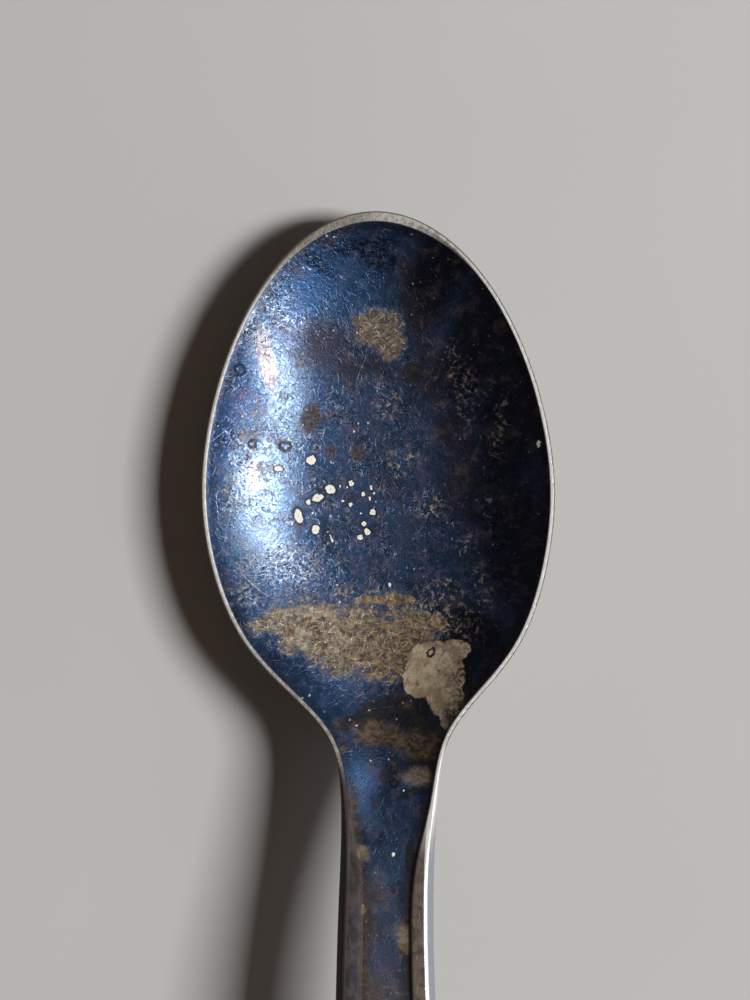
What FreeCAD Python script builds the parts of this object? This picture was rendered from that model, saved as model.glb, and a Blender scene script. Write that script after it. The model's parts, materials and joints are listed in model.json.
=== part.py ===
import FreeCAD, Part
import math
import os

# A small souvenir spoon, lying on its bowl and on its handle end. Millimetres.
# +Z is up, +Y points out over the bowl's tip, and the origin is under the middle of the spoon.
# "Station" is the distance along the spoon, back from the tip of the bowl.

# Driving dimensions: overall
spoon_length = 120.0
bowl_width = 25.0
bowl_front = 19.6          # station of the bowl's widest section
tip_roundness = 1.75       # exponent of the oval front half, 2 is an ellipse
neck_sway = 0.55           # how far the neck stands to the right of the long axis
neck_sway_station = 38.5
neck_sway_spread = 8.5

# Half-widths behind the widest section, as (station, half-width)
side_stations = [
    (25.6, 11.75), (30.9, 9.5), (34.5, 6.35), (37.4, 4.15), (41.0, 3.42), (47.0, 3.28),
    (57.0, 3.5), (74.0, 3.9), (88.0, 4.35), (95.0, 5.1), (101.0, 6.95), (105.5, 8.25),
]
terminal_centre = 109.5    # station of the handle end's widest section
terminal_half_width = 8.8
tip_steps = [0.045, 0.17, 0.36, 0.6, 0.82]   # outline points from the tip to the widest section
tip_step_power = 1.6       # gathers those points near the tip
end_turns = [0, 24, 46, 65, 80]              # outline points round the handle's end, in degrees

# Height of the rim and of the raised borders above the table, as (station, height)
crest_stations = [
    (-2.0, 5.48), (0.0, 5.5), (10.0, 5.58), (19.6, 5.74), (28.0, 6.15), (35.0, 7.3), (42.0, 9.4),
    (50.0, 11.5), (57.0, 12.6), (64.0, 12.85), (73.0, 11.8), (82.0, 8.9), (90.0, 5.3), (96.0, 2.95),
    (100.0, 2.05), (102.5, 1.9), (122.0, 1.9),
]

# Bowl hollow
bowl_depth = 4.8
bowl_wall_power = 1.3      # above 1 gives a flatter floor and steeper walls
hollow_stations = [        # share of the full depth along the centreline behind the widest section
    (19.6, 1.0), (24.0, 0.955), (29.0, 0.79), (33.0, 0.55), (37.0, 0.28), (40.5, 0.1), (44.0, 0.0),
]

# Sheet thickness, as (station, thickness)
thickness_stations = [
    (-2.0, 0.8), (8.0, 0.85), (20.0, 1.0), (30.0, 1.15), (38.0, 1.9), (45.0, 2.3), (58.0, 2.1),
    (75.0, 1.9), (92.0, 1.75), (100.0, 1.88), (104.0, 1.94), (122.0, 1.94),
]
back_crown = 0.55          # how much the stem's back is rounded up towards its edges
crown_start = 34.0         # station where the rounding begins, and the length over which it grows
crown_growth = 10.0
crown_end = 103.0          # station where the rounding is gone, and the length over which it fades
crown_fade = 12.0

# Raised border round the sunk field, as (station, width)
border_stations = [
    (0.0, 0.8), (1.6, 0.62), (3.5, 0.46), (6.0, 0.4), (38.0, 0.4), (41.0, 0.55), (43.5, 0.95),
    (46.0, 1.5), (49.0, 1.75), (60.0, 1.8), (92.0, 1.7), (104.0, 1.3), (120.0, 1.25),
]
field_depth_stations = [   # how far the sunk field lies below the border, as (station, depth)
    (-2.0, 0.1), (28.0, 0.1), (36.0, 0.17), (42.0, 0.3), (60.0, 0.3), (122.0, 0.3),
]

# Badge, centred on the handle end
badge_station = 110.2
badge_half_width = 6.7
badge_half_length = 7.9
solder_thickness = 0.1
solder_inset = 0.35
plate_thickness = 1.0
cell_depth = 0.5
enamel_below_rim = 0.04
plate_rim = 0.55
border_cell = 1.05
cell_wall = 0.26
seat_depth = 0.03          # flat struck into the sunk field for the badge
sun_radius = 0.95

# The badge's picture, about the badge's centre, with its top towards the handle's end
sun_centre = FreeCAD.Vector(2.45, 3.25, 0)
peak_corners = [(-5.4, -3.2), (-0.75, 3.7), (4.6, -3.2)]
snow_corners = [(-4.0, 1.15), (-1.75, 1.3), (-1.15, 0.65), (-0.5, 1.45), (0.2, 0.8), (1.0, 1.75),
                (3.5, 1.6), (3.5, 5.0), (-4.0, 5.0)]
hill_centre = FreeCAD.Vector(4.6, -8.6, 0)
hill_radius = 8.3
shore_centre = FreeCAD.Vector(-3.0, -18.4, 0)
shore_radius = 15.3

# Working sizes
curve_rows = 62            # rows of points that carry each freeform surface
curve_columns = 19
field_points = 120         # points along the inner edge of the raised border
wall_faces = 12            # faces round each upright wall
prism_bottom = -8.0        # the outline's prism runs between these heights
prism_height = 24.0
tool_reach = 40.0          # height of the blocks that trim the blank
surface_margin = 0.9       # how far the freeform surfaces run past the outline
tip_margin = 2.2           # nearer than this to the spoon's ends, the surfaces keep their width
end_margin = 1.6
least_half_width = 3.0     # the back's rounding never narrows past this


def vec(x, y, z=0.0):
    return FreeCAD.Vector(x, y, z)


def along(station):
    """Y of a station."""
    return spoon_length / 2 - station


def smooth_curve(pairs):
    """A function of the station that runs through (station, value) pairs and never overshoots them."""
    xs = [s for s, _ in pairs]
    ys = [v for _, v in pairs]
    rises = [(ys[i + 1] - ys[i]) / (xs[i + 1] - xs[i]) for i in range(len(xs) - 1)]
    slopes = [rises[0]]
    for before, after in zip(rises, rises[1:]):
        slopes.append(2 * before * after / (before + after) if before * after > 0 else 0.0)
    slopes.append(rises[-1])

    def value(station):
        s = min(max(station, xs[0]), xs[-1])
        i = max(k for k in range(len(xs) - 1) if xs[k] <= s)
        span = xs[i + 1] - xs[i]
        f = (s - xs[i]) / span
        start = (1 + 2 * f) * (1 - f) ** 2 * ys[i] + f * (1 - f) ** 2 * span * slopes[i]
        end = f ** 2 * (3 - 2 * f) * ys[i + 1] + f ** 2 * (f - 1) * span * slopes[i + 1]
        return start + end

    return value


crest = smooth_curve(crest_stations)
thickness = smooth_curve(thickness_stations)
border_width = smooth_curve(border_stations)
field_depth = smooth_curve(field_depth_stations)
hollow_share = smooth_curve(hollow_stations)
side_width = smooth_curve([(bowl_front, bowl_width / 2)] + side_stations
                          + [(terminal_centre, terminal_half_width)])


def sway(station):
    """Sideways offset of the centreline, largest at the neck."""
    return neck_sway * math.exp(-((station - neck_sway_station) / neck_sway_spread) ** 2)


def half_width(station):
    """Half the outline's width at a station between the tip and the handle's end."""
    if station <= bowl_front:
        reach = (bowl_front - station) / bowl_front
        return bowl_width / 2 * math.sqrt(max(0.0, 1 - reach ** tip_roundness))
    if station <= terminal_centre:
        return side_width(station)
    reach = (station - terminal_centre) / (spoon_length - terminal_centre)
    return terminal_half_width * math.sqrt(max(0.0, 1 - reach ** 2))


def outline_points():
    """Points round the outline, counter-clockwise from the tip."""
    front = [bowl_front * step ** tip_step_power for step in tip_steps] + [bowl_front]
    middle = [s for s, _ in side_stations]
    end_length = spoon_length - terminal_centre
    back = [terminal_centre + end_length * math.sin(math.radians(turn)) for turn in end_turns]
    stations = front + middle + back
    left = [vec(sway(s) - half_width(s), along(s)) for s in stations]
    right = [vec(sway(s) + half_width(s), along(s)) for s in reversed(stations)]
    return [vec(sway(0), along(0))] + left + [vec(0, along(spoon_length))] + right


def outline_curve():
    curve = Part.BSplineCurve()
    curve.interpolate(outline_points(), True)
    return curve


def field_curve():
    """Inner edge of the raised border."""
    outer = outline_curve()
    first, last = outer.FirstParameter, outer.LastParameter
    points = []
    for i in range(field_points):
        u = first + (last - first) * i / field_points
        point = outer.value(u)
        tangent = outer.tangent(u)[0]
        inward = vec(-tangent.y, tangent.x)
        points.append(point + inward * border_width(spoon_length / 2 - point.y))
    curve = Part.BSplineCurve()
    curve.interpolate(points, True)
    return curve


def prism(curve):
    """Upright block inside a closed curve, whose wall is divided into short faces."""
    start, span = curve.FirstParameter, (curve.LastParameter - curve.FirstParameter) / wall_faces
    edges = [curve.toShape(start + span * i, start + span * (i + 1)) for i in range(wall_faces)]
    face = Part.Face(Part.Wire(edges))
    face.translate(vec(0, 0, prism_bottom))
    return face.extrude(vec(0, 0, prism_height))


def hollow_radius_squared(x, station, inset, tip_inset):
    """0 at the bowl's deepest point and 1 along its edge, which lies the inset inside the outline."""
    offset = x - sway(station)
    if station <= bowl_front:
        length = bowl_front - tip_inset
        reach = (bowl_front - station) / length
        return (offset / (bowl_width / 2 - inset)) ** 2 + reach ** tip_roundness
    share = hollow_share(station)
    return 1 - share * (1 - (offset / (half_width(station) - inset)) ** 2)


def bowl_drop(x, station, inset, tip_inset):
    """How far a surface lies below the crest height because of the bowl's hollow."""
    if station >= hollow_stations[-1][0]:
        return 0.0
    radius_squared = max(hollow_radius_squared(x, station, inset, tip_inset), 0.0)
    return bowl_depth * (1 - radius_squared ** bowl_wall_power)


def field_height(x, station):
    """Top of the bowl's inside and of the sunk field."""
    inset = border_width(station)
    return crest(station) - field_depth(station) - bowl_drop(x, station, inset, border_width(0))


def back_height(x, station):
    """Underside of the spoon."""
    drop = bowl_drop(x, station, 0, 0)
    growing = min(max((station - crown_start) / crown_growth, 0), 1)
    fading = min(max((crown_end - station) / crown_fade, 0), 1)
    inside = min(max(station, tip_margin), spoon_length - end_margin)
    edge = (x - sway(station)) / max(half_width(inside), least_half_width)
    crown = back_crown * growing * fading * edge ** 2
    return crest(station) - drop - thickness(station) + crown


def freeform_face(height):
    """Surface through height(x, station), a little wider than the outline all round."""
    rows = []
    for i in range(curve_rows + 1):
        station = -surface_margin + (spoon_length + 2 * surface_margin) * i / curve_rows
        inside = min(max(station, tip_margin), spoon_length - end_margin)
        reach = half_width(inside) + surface_margin
        row = []
        for j in range(curve_columns):
            x = sway(station) + reach * (2 * j / (curve_columns - 1) - 1)
            row.append(vec(x, along(station), height(x, station)))
        rows.append(row)
    surface = Part.BSplineSurface()
    surface.interpolate(rows)
    return surface.toShape()


def crest_block():
    """Everything above the crest height."""
    curve = Part.BSplineCurve()
    first, last = crest_stations[0][0], crest_stations[-1][0]
    stations = [first + (last - first) * i / curve_rows for i in range(curve_rows + 1)]
    curve.interpolate([vec(-spoon_length, along(s), crest(s)) for s in stations])
    face = curve.toShape().extrude(vec(2 * spoon_length, 0, 0))
    return face.extrude(vec(0, 0, tool_reach))


def oval(across, lengthwise):
    """Face of an ellipse about the badge's centre, given its two half-axes."""
    ellipse = Part.Ellipse(vec(0, lengthwise), vec(across, 0), vec(0, 0))
    return Part.Face(Part.Wire(ellipse.toShape()))


def disc(centre, radius):
    return Part.Face(Part.Wire(Part.Circle(centre, vec(0, 0, 1), radius).toShape()))


def polygon(points, grow=0.0):
    """Face of a polygon, moved out by grow on every side."""
    corners = [vec(u, v) for u, v in points]
    face = Part.Face(Part.makePolygon(corners + [corners[0]]))
    return face.makeOffset2D(grow, 2) if grow else face


def enamel_fields():
    """Flat outline of each enamel cell about the badge's centre, the picture's top towards +V."""
    gap = cell_wall / 2
    inner_rim = plate_rim + border_cell + cell_wall
    picture = oval(badge_half_width - inner_rim, badge_half_length - inner_rim)
    ring = oval(badge_half_width - plate_rim, badge_half_length - plate_rim).cut(
        oval(badge_half_width - plate_rim - border_cell, badge_half_length - plate_rim - border_cell))
    water, land = (shore_centre, shore_radius), (hill_centre, hill_radius)
    inside_peak, outside_peak = polygon(peak_corners, -gap), polygon(peak_corners, gap)
    above_land = picture.cut(disc(land[0], land[1] + gap)).cut(disc(water[0], water[1] + gap))
    return {
        "border_enamel": ring,
        "lake_enamel": picture.common(disc(water[0], water[1] - gap)),
        "hill_enamel": picture.common(disc(land[0], land[1] - gap)).cut(disc(water[0], water[1] + gap)),
        "peak_enamel": above_land.common(inside_peak).cut(polygon(snow_corners, gap)),
        "snow_cap_enamel": above_land.common(inside_peak).common(polygon(snow_corners, -gap)),
        "sun_enamel": disc(sun_centre, sun_radius),
        "sky_enamel": above_land.cut(outside_peak).cut(disc(sun_centre, sun_radius + cell_wall)),
    }


def onto_handle(shape, bottom):
    """A badge shape moved to the handle end, turned so that the picture's top is at the end."""
    shape.rotate(vec(0, 0), vec(0, 0, 1), 180)
    shape.translate(vec(0, along(badge_station), bottom))
    return shape


seat_height = crest_stations[-1][1] - field_depth_stations[-1][1] - seat_depth
plate_bottom = seat_height + solder_thickness
cell_floor = plate_bottom + plate_thickness - cell_depth


def make_spoon_blank():
    blank = prism(outline_curve())
    blank = blank.cut(crest_block())
    blank = blank.cut(freeform_face(back_height).extrude(vec(0, 0, -tool_reach)))
    table = Part.makeBox(2 * bowl_width, 2 * spoon_length, tool_reach)
    table.translate(vec(-bowl_width, -spoon_length, -tool_reach))
    blank = blank.cut(table)
    sunk = prism(field_curve()).common(freeform_face(field_height).extrude(vec(0, 0, tool_reach)))
    blank = blank.cut(sunk)
    seat = oval(badge_half_width - solder_inset, badge_half_length - solder_inset)
    return blank.cut(onto_handle(seat.extrude(vec(0, 0, tool_reach)), seat_height))


def make_badge_solder():
    layer = oval(badge_half_width - solder_inset, badge_half_length - solder_inset)
    return onto_handle(layer.extrude(vec(0, 0, solder_thickness)), seat_height)


def make_badge_plate(fields):
    plate = oval(badge_half_width, badge_half_length).extrude(vec(0, 0, plate_thickness))
    for field in fields.values():
        cell = field.extrude(vec(0, 0, plate_thickness))
        cell.translate(vec(0, 0, plate_thickness - cell_depth))
        plate = plate.cut(cell)
    return onto_handle(plate, plate_bottom)


def make_enamel(field):
    return onto_handle(field.extrude(vec(0, 0, cell_depth - enamel_below_rim)), cell_floor)


def main():
    os.makedirs("parts", exist_ok=True)
    fields = enamel_fields()
    pieces = {
        "spoon_blank": make_spoon_blank(),
        "badge_solder": make_badge_solder(),
        "badge_plate": make_badge_plate(fields),
    }
    for name, field in fields.items():
        pieces[name] = make_enamel(field)
    for name, piece in pieces.items():
        solids = piece.Solids
        print(name, len(solids), piece.isValid(), round(piece.Volume, 2))
        shape = solids[0] if len(solids) == 1 else Part.makeCompound(solids)
        shape.exportStep(os.path.join("parts", name + ".step"))


main()
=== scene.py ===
import json
import math
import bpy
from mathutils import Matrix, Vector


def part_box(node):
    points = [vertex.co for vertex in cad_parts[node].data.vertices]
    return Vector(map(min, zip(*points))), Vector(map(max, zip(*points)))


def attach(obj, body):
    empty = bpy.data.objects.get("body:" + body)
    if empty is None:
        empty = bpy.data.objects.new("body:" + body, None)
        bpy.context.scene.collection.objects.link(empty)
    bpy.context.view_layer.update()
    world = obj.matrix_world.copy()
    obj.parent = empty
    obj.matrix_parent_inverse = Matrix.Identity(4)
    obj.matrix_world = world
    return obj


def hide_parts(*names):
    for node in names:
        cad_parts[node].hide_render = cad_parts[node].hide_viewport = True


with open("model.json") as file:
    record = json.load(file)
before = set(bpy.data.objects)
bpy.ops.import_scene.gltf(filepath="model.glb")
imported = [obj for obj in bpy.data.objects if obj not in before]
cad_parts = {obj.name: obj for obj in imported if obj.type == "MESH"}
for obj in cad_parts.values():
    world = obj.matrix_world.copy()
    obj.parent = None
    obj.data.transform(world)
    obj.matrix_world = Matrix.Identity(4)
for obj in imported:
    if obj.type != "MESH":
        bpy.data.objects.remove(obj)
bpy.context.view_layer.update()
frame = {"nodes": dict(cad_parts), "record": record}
from types import SimpleNamespace

import bmesh
import bpy
import numpy as np
from mathutils import Vector

mm = 0.001
blankLow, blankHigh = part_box("spoon_blank")
badgeLow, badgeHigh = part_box("badge_plate")
spoonLength = (blankHigh.y - blankLow.y) / mm
bowlHalfWidth = (blankHigh.x - blankLow.x) / mm / 2
tipY = blankHigh.y / mm
scene = bpy.context.scene


# small helpers
def smoothCurve(pairs, blur=0.9):
    xs = np.array([p[0] for p in pairs], float)
    ys = np.array([p[1] for p in pairs], float)
    rises = np.diff(ys) / np.diff(xs)
    same = rises[:-1] * rises[1:] > 0
    total = np.where(same, rises[:-1] + rises[1:], 1)
    inner = np.where(same, 2 * rises[:-1] * rises[1:] / total, 0)
    slopes = np.concatenate([rises[:1], inner, rises[-1:]])
    fine = np.arange(-8, spoonLength + 8, 0.1)
    s = np.clip(fine, xs[0], xs[-1])
    i = np.clip(np.searchsorted(xs, s, side="right") - 1, 0, len(xs) - 2)
    span = xs[i + 1] - xs[i]
    f = (s - xs[i]) / span
    table = (1 + 2 * f) * (1 - f) ** 2 * ys[i] + f * (1 - f) ** 2 * span * slopes[i]
    table += f ** 2 * (3 - 2 * f) * ys[i + 1] + f ** 2 * (f - 1) * span * slopes[i + 1]
    if blur:
        reach = np.arange(-30, 31) * 0.1
        weights = np.exp(-(reach / blur) ** 2)
        table = np.convolve(np.pad(table, 30, mode="edge"), weights / weights.sum(), mode="valid")
    return lambda station: np.interp(station, fine, table)


def isSocket(value):
    return isinstance(value, bpy.types.NodeSocket)


def treeOf(inputs):
    return next(value.id_data for value in inputs.values() if isSocket(value))


def fillInputs(node, inputs):
    for key, value in inputs.items():
        if isSocket(value):
            node.id_data.links.new(value, node.inputs[key])
        else:
            node.inputs[key].default_value = value


def newNode(tree, kind, inputs=None, **settings):
    # without a tree, the node goes where the sockets among its inputs are
    inputs = inputs or {}
    node = (tree or treeOf(inputs)).nodes.new(kind)
    for name, value in settings.items():
        setattr(node, name, value)
    fillInputs(node, inputs)
    return node


def calc(operation, first, second=0.0, third=0.0):
    inputs = {0: first, 1: second, 2: third}
    return newNode(None, "ShaderNodeMath", inputs, operation=operation).outputs[0]


def combined(operation, values):
    result = values[0]
    for value in values[1:]:
        result = calc(operation, result, value)
    return result


def both(*values):
    return combined("MULTIPLY", values)


def either(*values):
    return combined("MAXIMUM", values)


def vectorCalc(operation, first, second=(0, 0, 0)):
    node = newNode(None, "ShaderNodeVectorMath", {0: first, 1: second}, operation=operation)
    return node.outputs["Value" if operation == "LENGTH" else "Vector"]


def fade(value, low, high, lowOut=0.0, highOut=1.0):
    inputs = {"Value": value, "From Min": low, "From Max": high, "To Min": lowOut, "To Max": highOut}
    node = newNode(None, "ShaderNodeMapRange", inputs, interpolation_type="SMOOTHSTEP", clamp=True)
    return node.outputs["Result"]


def blendColor(factor, below, above):
    # a colour is a socket, three numbers or the name of one of the spoon's tints
    colors = [spoonTints[c] if isinstance(c, str) else c for c in (below, above)]
    below, above = (c if isSocket(c) else (*c, 1) for c in colors)
    return newNode(None, "ShaderNodeMix", {0: factor, 6: below, 7: above}, data_type="RGBA").outputs[2]


def blendValue(factor, below, above):
    return newNode(None, "ShaderNodeMix", {0: factor, 2: below, 3: above}, data_type="FLOAT").outputs[0]


def noise(vector, scale, detail=3.0, roughness=0.55, distortion=0.0, output="Fac"):
    inputs = {"Vector": vector, "Scale": scale, "Detail": detail, "Roughness": roughness,
              "Distortion": distortion}
    return newNode(None, "ShaderNodeTexNoise", inputs).outputs[output]


def kindOf(value):
    if isinstance(value, tuple):
        return "Vector" if len(value) == 3 else "Color"
    return "Int" if isinstance(value, int) else "Float"


def newGroup(name, ins, outs, kind="ShaderNodeTree"):
    # ins holds each input's starting value, or the kind of one that has none
    tree = bpy.data.node_groups.new(name, kind)
    for socketName, value in ins.items():
        ending = value if isinstance(value, str) else kindOf(value)
        socket = tree.interface.new_socket(socketName, in_out="INPUT", socket_type="NodeSocket" + ending)
        if not isinstance(value, str):
            socket.default_value = value
    for socketName, ending in outs.items():
        tree.interface.new_socket(socketName, in_out="OUTPUT", socket_type="NodeSocket" + ending)
    return tree, tree.nodes.new("NodeGroupInput").outputs, tree.nodes.new("NodeGroupOutput").inputs


def useGroup(group, **inputs):
    node = newNode(treeOf(inputs), "ShaderNodeGroup", node_tree=group)
    fillInputs(node, inputs)
    return node.outputs


# camera, light and floor
stageSetup = {
    "lens": 150.0,
    "pictureHeight": 70.6,      # mm seen from top to bottom at the rim's height
    "aim": (-0.22, 39.58),      # mm, the point of the spoon's plan that the camera looks down on
    "rimHeight": 5.7,
    "roll": -0.82,              # degrees
    "windowAngles": (-1, 52.5),      # degrees, round from +X and above the table
    "windowDistance": 900.0,
    "windowSize": (165.0, 280.0),
    "windowPower": 9.5,
    "windowColor": (1.0, 0.99, 0.965),
    # soft panes that only polished faces show: angles, size, power and colour of each
    "glints": [((-24, 34), (150.0, 130.0), 2.3, (0.96, 0.97, 1.0)),
               ((2, 34.5), (165.0, 135.0), 3.5, (0.94, 0.97, 1.0)),
               ((48, 38), (460.0, 380.0), 0.85, (1.0, 0.94, 0.90)),
               ((0, 84), (560.0, 560.0), 0.34, (1.0, 0.86, 0.74))],
    "fillStrength": 0.062,
    "fillColor": (1.0, 0.7, 0.52),
    "floorColor": (0.50, 0.505, 0.50),
}


def makeCamera(setup):
    data = bpy.data.cameras.new("overheadCamera")
    camera = bpy.data.objects.new("overheadCamera", data)
    scene.collection.objects.link(camera)
    data.lens = setup["lens"]
    distance = setup["pictureHeight"] * data.lens / data.sensor_width
    camera.location = (setup["aim"][0] * mm, setup["aim"][1] * mm, (setup["rimHeight"] + distance) * mm)
    camera.rotation_euler = (0, 0, math.radians(setup["roll"]))
    data.clip_start = 0.01
    scene.camera = camera


def makeAreaLight(name, direction, distance, size, power, color, target):
    data = bpy.data.lights.new(name, "AREA")
    data.shape = "RECTANGLE"
    data.size, data.size_y = size[0] * mm, size[1] * mm
    data.energy = power
    data.color = color
    light = bpy.data.objects.new(name, data)
    scene.collection.objects.link(light)
    around, up = (math.radians(a) for a in direction)
    away = Vector((math.cos(around) * math.cos(up), math.sin(around) * math.cos(up), math.sin(up)))
    light.location = target + away * distance * mm
    light.rotation_euler = away.to_track_quat("Z", "Y").to_euler()
    return light


def makeStage(setup):
    target = Vector((setup["aim"][0] * mm, setup["aim"][1] * mm, 0))
    window = makeAreaLight("windowLight", setup["windowAngles"], setup["windowDistance"],
                           setup["windowSize"], setup["windowPower"], setup["windowColor"], target)
    for angles, size, power, color in setup["glints"]:
        pane = makeAreaLight("glintPane", angles, setup["windowDistance"], size, power, color, target)
        pane.visible_diffuse = False
    window.visible_glossy = False
    world = bpy.data.worlds.new("studioFill")
    scene.world = world
    world.use_nodes = True
    background = world.node_tree.nodes["Background"]
    background.inputs["Color"].default_value = (*setup["fillColor"], 1)
    background.inputs["Strength"].default_value = setup["fillStrength"]
    bpy.ops.mesh.primitive_plane_add(size=3, location=(0, 0, 0))
    floor = bpy.context.object
    floor.name = "floor"
    material = bpy.data.materials.new("paleFloor")
    material.use_nodes = True
    tree = material.node_tree
    shader = tree.nodes["Principled BSDF"]
    where = newNode(tree, "ShaderNodeTexCoord").outputs["Object"]
    tone = noise(where, 9.0, 4.0)
    low = tuple(c * 0.96 for c in setup["floorColor"])
    high = tuple(min(1, c * 1.03) for c in setup["floorColor"])
    tree.links.new(blendColor(fade(tone, 0.3, 0.7), low, high), shader.inputs["Base Color"])
    shader.inputs["Roughness"].default_value = 0.7
    floor.data.materials.append(material)


scene.view_settings.view_transform = "Standard"
makeCamera(stageSetup)
makeStage(stageSetup)
print("camera, light and floor are set")


# the spoon's shape
spoonShape = {
    "bowlFront": 19.6,
    "tipRoundness": 1.75,
    "neckSway": (0.55, 38.5, 8.5),
    "sides": [(25.6, 11.75), (30.9, 9.5), (34.5, 6.35), (37.4, 4.15), (41.0, 3.42), (47.0, 3.28),
              (57.0, 3.5), (74.0, 3.9), (88.0, 4.35), (95.0, 5.1), (101.0, 6.95), (105.5, 8.25)],
    "endCentre": 109.5,
    "endHalfWidth": 8.8,
    "crest": [(-2.0, 5.48), (0.0, 5.5), (10.0, 5.58), (19.6, 5.74), (28.0, 6.15), (35.0, 7.3),
              (42.0, 9.4), (50.0, 11.5), (57.0, 12.6), (64.0, 12.85), (73.0, 11.8), (82.0, 8.9),
              (90.0, 5.3), (96.0, 2.95), (100.0, 2.05), (102.5, 1.9), (122.0, 1.9)],
    "sheet": [(-2.0, 0.8), (8.0, 0.85), (20.0, 1.0), (30.0, 1.15), (38.0, 1.9), (45.0, 2.3),
              (58.0, 2.1), (75.0, 1.9), (92.0, 1.75), (100.0, 1.88), (104.0, 1.94), (122.0, 1.94)],
    "border": [(0.0, 0.8), (1.6, 0.62), (3.5, 0.46), (6.0, 0.4), (38.0, 0.4), (41.0, 0.55),
               (43.5, 0.95), (46.0, 1.5), (49.0, 1.75), (60.0, 1.8), (92.0, 1.7), (104.0, 1.3),
               (120.0, 1.25)],
    "fieldDepth": [(-2.0, 0.1), (28.0, 0.1), (36.0, 0.17), (42.0, 0.3), (60.0, 0.3), (122.0, 0.3)],
    "hollow": [(19.6, 1.0), (24.0, 0.955), (29.0, 0.79), (33.0, 0.55), (37.0, 0.28), (40.5, 0.1),
               (44.0, 0.0)],
    "bowlDepth": 4.8,
    "wallPower": 1.3,
    "backCrown": 0.55,
    "dentDepth": 0.02,
    "dentSpacing": 5.0,
    # the raised border: mm at the bowl and along the stem
    "flank": (0.11, 0.75),      # width of its outer slope
    "flankDrop": (0.3, 1.0),
    "wall": (0.1, 0.3),         # width of its inner slope
    "edgeRound": (0.24, 0.45),
    "bead": (0.01, 0.07),       # rise of its rounded top
    "stemBorder": (38.0, 9.0),  # the station where the stem's border begins, and the mm it takes to grow
    "ribs": 520,                # stations along each side
    "spine": (13.0, 109.5),     # the ribs fan out about these two stations at the ends
}


def sway(station):
    amount, centre, spread = spoonShape["neckSway"]
    return amount * np.exp(-((station - centre) / spread) ** 2)


def frontHalfWidth(station):
    reach = np.clip((spoonShape["bowlFront"] - station) / spoonShape["bowlFront"], 0, 1)
    return bowlHalfWidth * np.sqrt(np.maximum(0, 1 - reach ** spoonShape["tipRoundness"]))


def closedSpline(points, count):
    n = len(points)
    steps = np.linalg.norm(np.roll(points, -1, 0) - points, axis=1)
    knots = np.concatenate([[0], np.cumsum(steps)])
    system = np.zeros((n, n))
    right = np.zeros((n, 2))
    for i in range(n):
        before, after = steps[i - 1], steps[i]
        system[i, i - 1] += before
        system[i, i] += 2 * (before + after)
        system[i, (i + 1) % n] += after
        right[i] = 6 * ((points[(i + 1) % n] - points[i]) / after - (points[i] - points[i - 1]) / before)
    bends = np.linalg.solve(system, right)
    at = np.linspace(0, knots[-1], count, endpoint=False)
    i = np.clip(np.searchsorted(knots, at, side="right") - 1, 0, n - 1)
    j = (i + 1) % n
    h = steps[i][:, None]
    a = (knots[i + 1] - at)[:, None] / h
    b = 1 - a
    bend = (a ** 3 - a) * bends[i] + (b ** 3 - b) * bends[j]
    return a * points[i] + b * points[j] + bend * h ** 2 / 6


def outlineHalfWidth():
    shape = spoonShape
    front = shape["bowlFront"] * np.array([0.045, 0.17, 0.36, 0.6, 0.82]) ** 1.6
    front = np.append(front, shape["bowlFront"])
    endLength = spoonLength - shape["endCentre"]
    turn = np.radians([0, 24, 46, 65, 80])
    side = [(s, frontHalfWidth(s)) for s in front] + shape["sides"]
    side += [(shape["endCentre"] + endLength * math.sin(a), shape["endHalfWidth"] * math.cos(a))
             for a in turn]
    side = np.array(side)
    left = np.column_stack([-side[:, 1], side[:, 0]])
    right = np.column_stack([side[::-1, 1], side[::-1, 0]])
    ring = np.vstack([[[0, 0]], left, [[0, spoonLength]], right])
    dense = closedSpline(ring, 8000)
    return dense[: 4001]


def blankColumns():
    half = outlineHalfWidth()
    half[:, 0] = np.minimum(half[:, 0], 0)
    length = np.concatenate([[0], np.cumsum(np.linalg.norm(np.diff(half, axis=0), axis=1))])
    at = np.linspace(0, length[-1], spoonShape["ribs"] + 1)
    station = np.interp(at, length, half[:, 1])
    width = -np.interp(at, length, half[:, 0])
    station[0], width[0] = 0, 0
    station[-1], width[-1] = spoonLength, 0
    left = np.column_stack([sway(station) - width, station])
    right = np.column_stack([sway(station) + width, station])[-2:0:-1]
    ring = np.vstack([left, right])
    along = np.roll(ring, -1, 0) - np.roll(ring, 1, 0)
    along /= np.linalg.norm(along, axis=1)[:, None]
    inward = np.column_stack([along[:, 1], -along[:, 0]])
    return ring, inward, half


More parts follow.
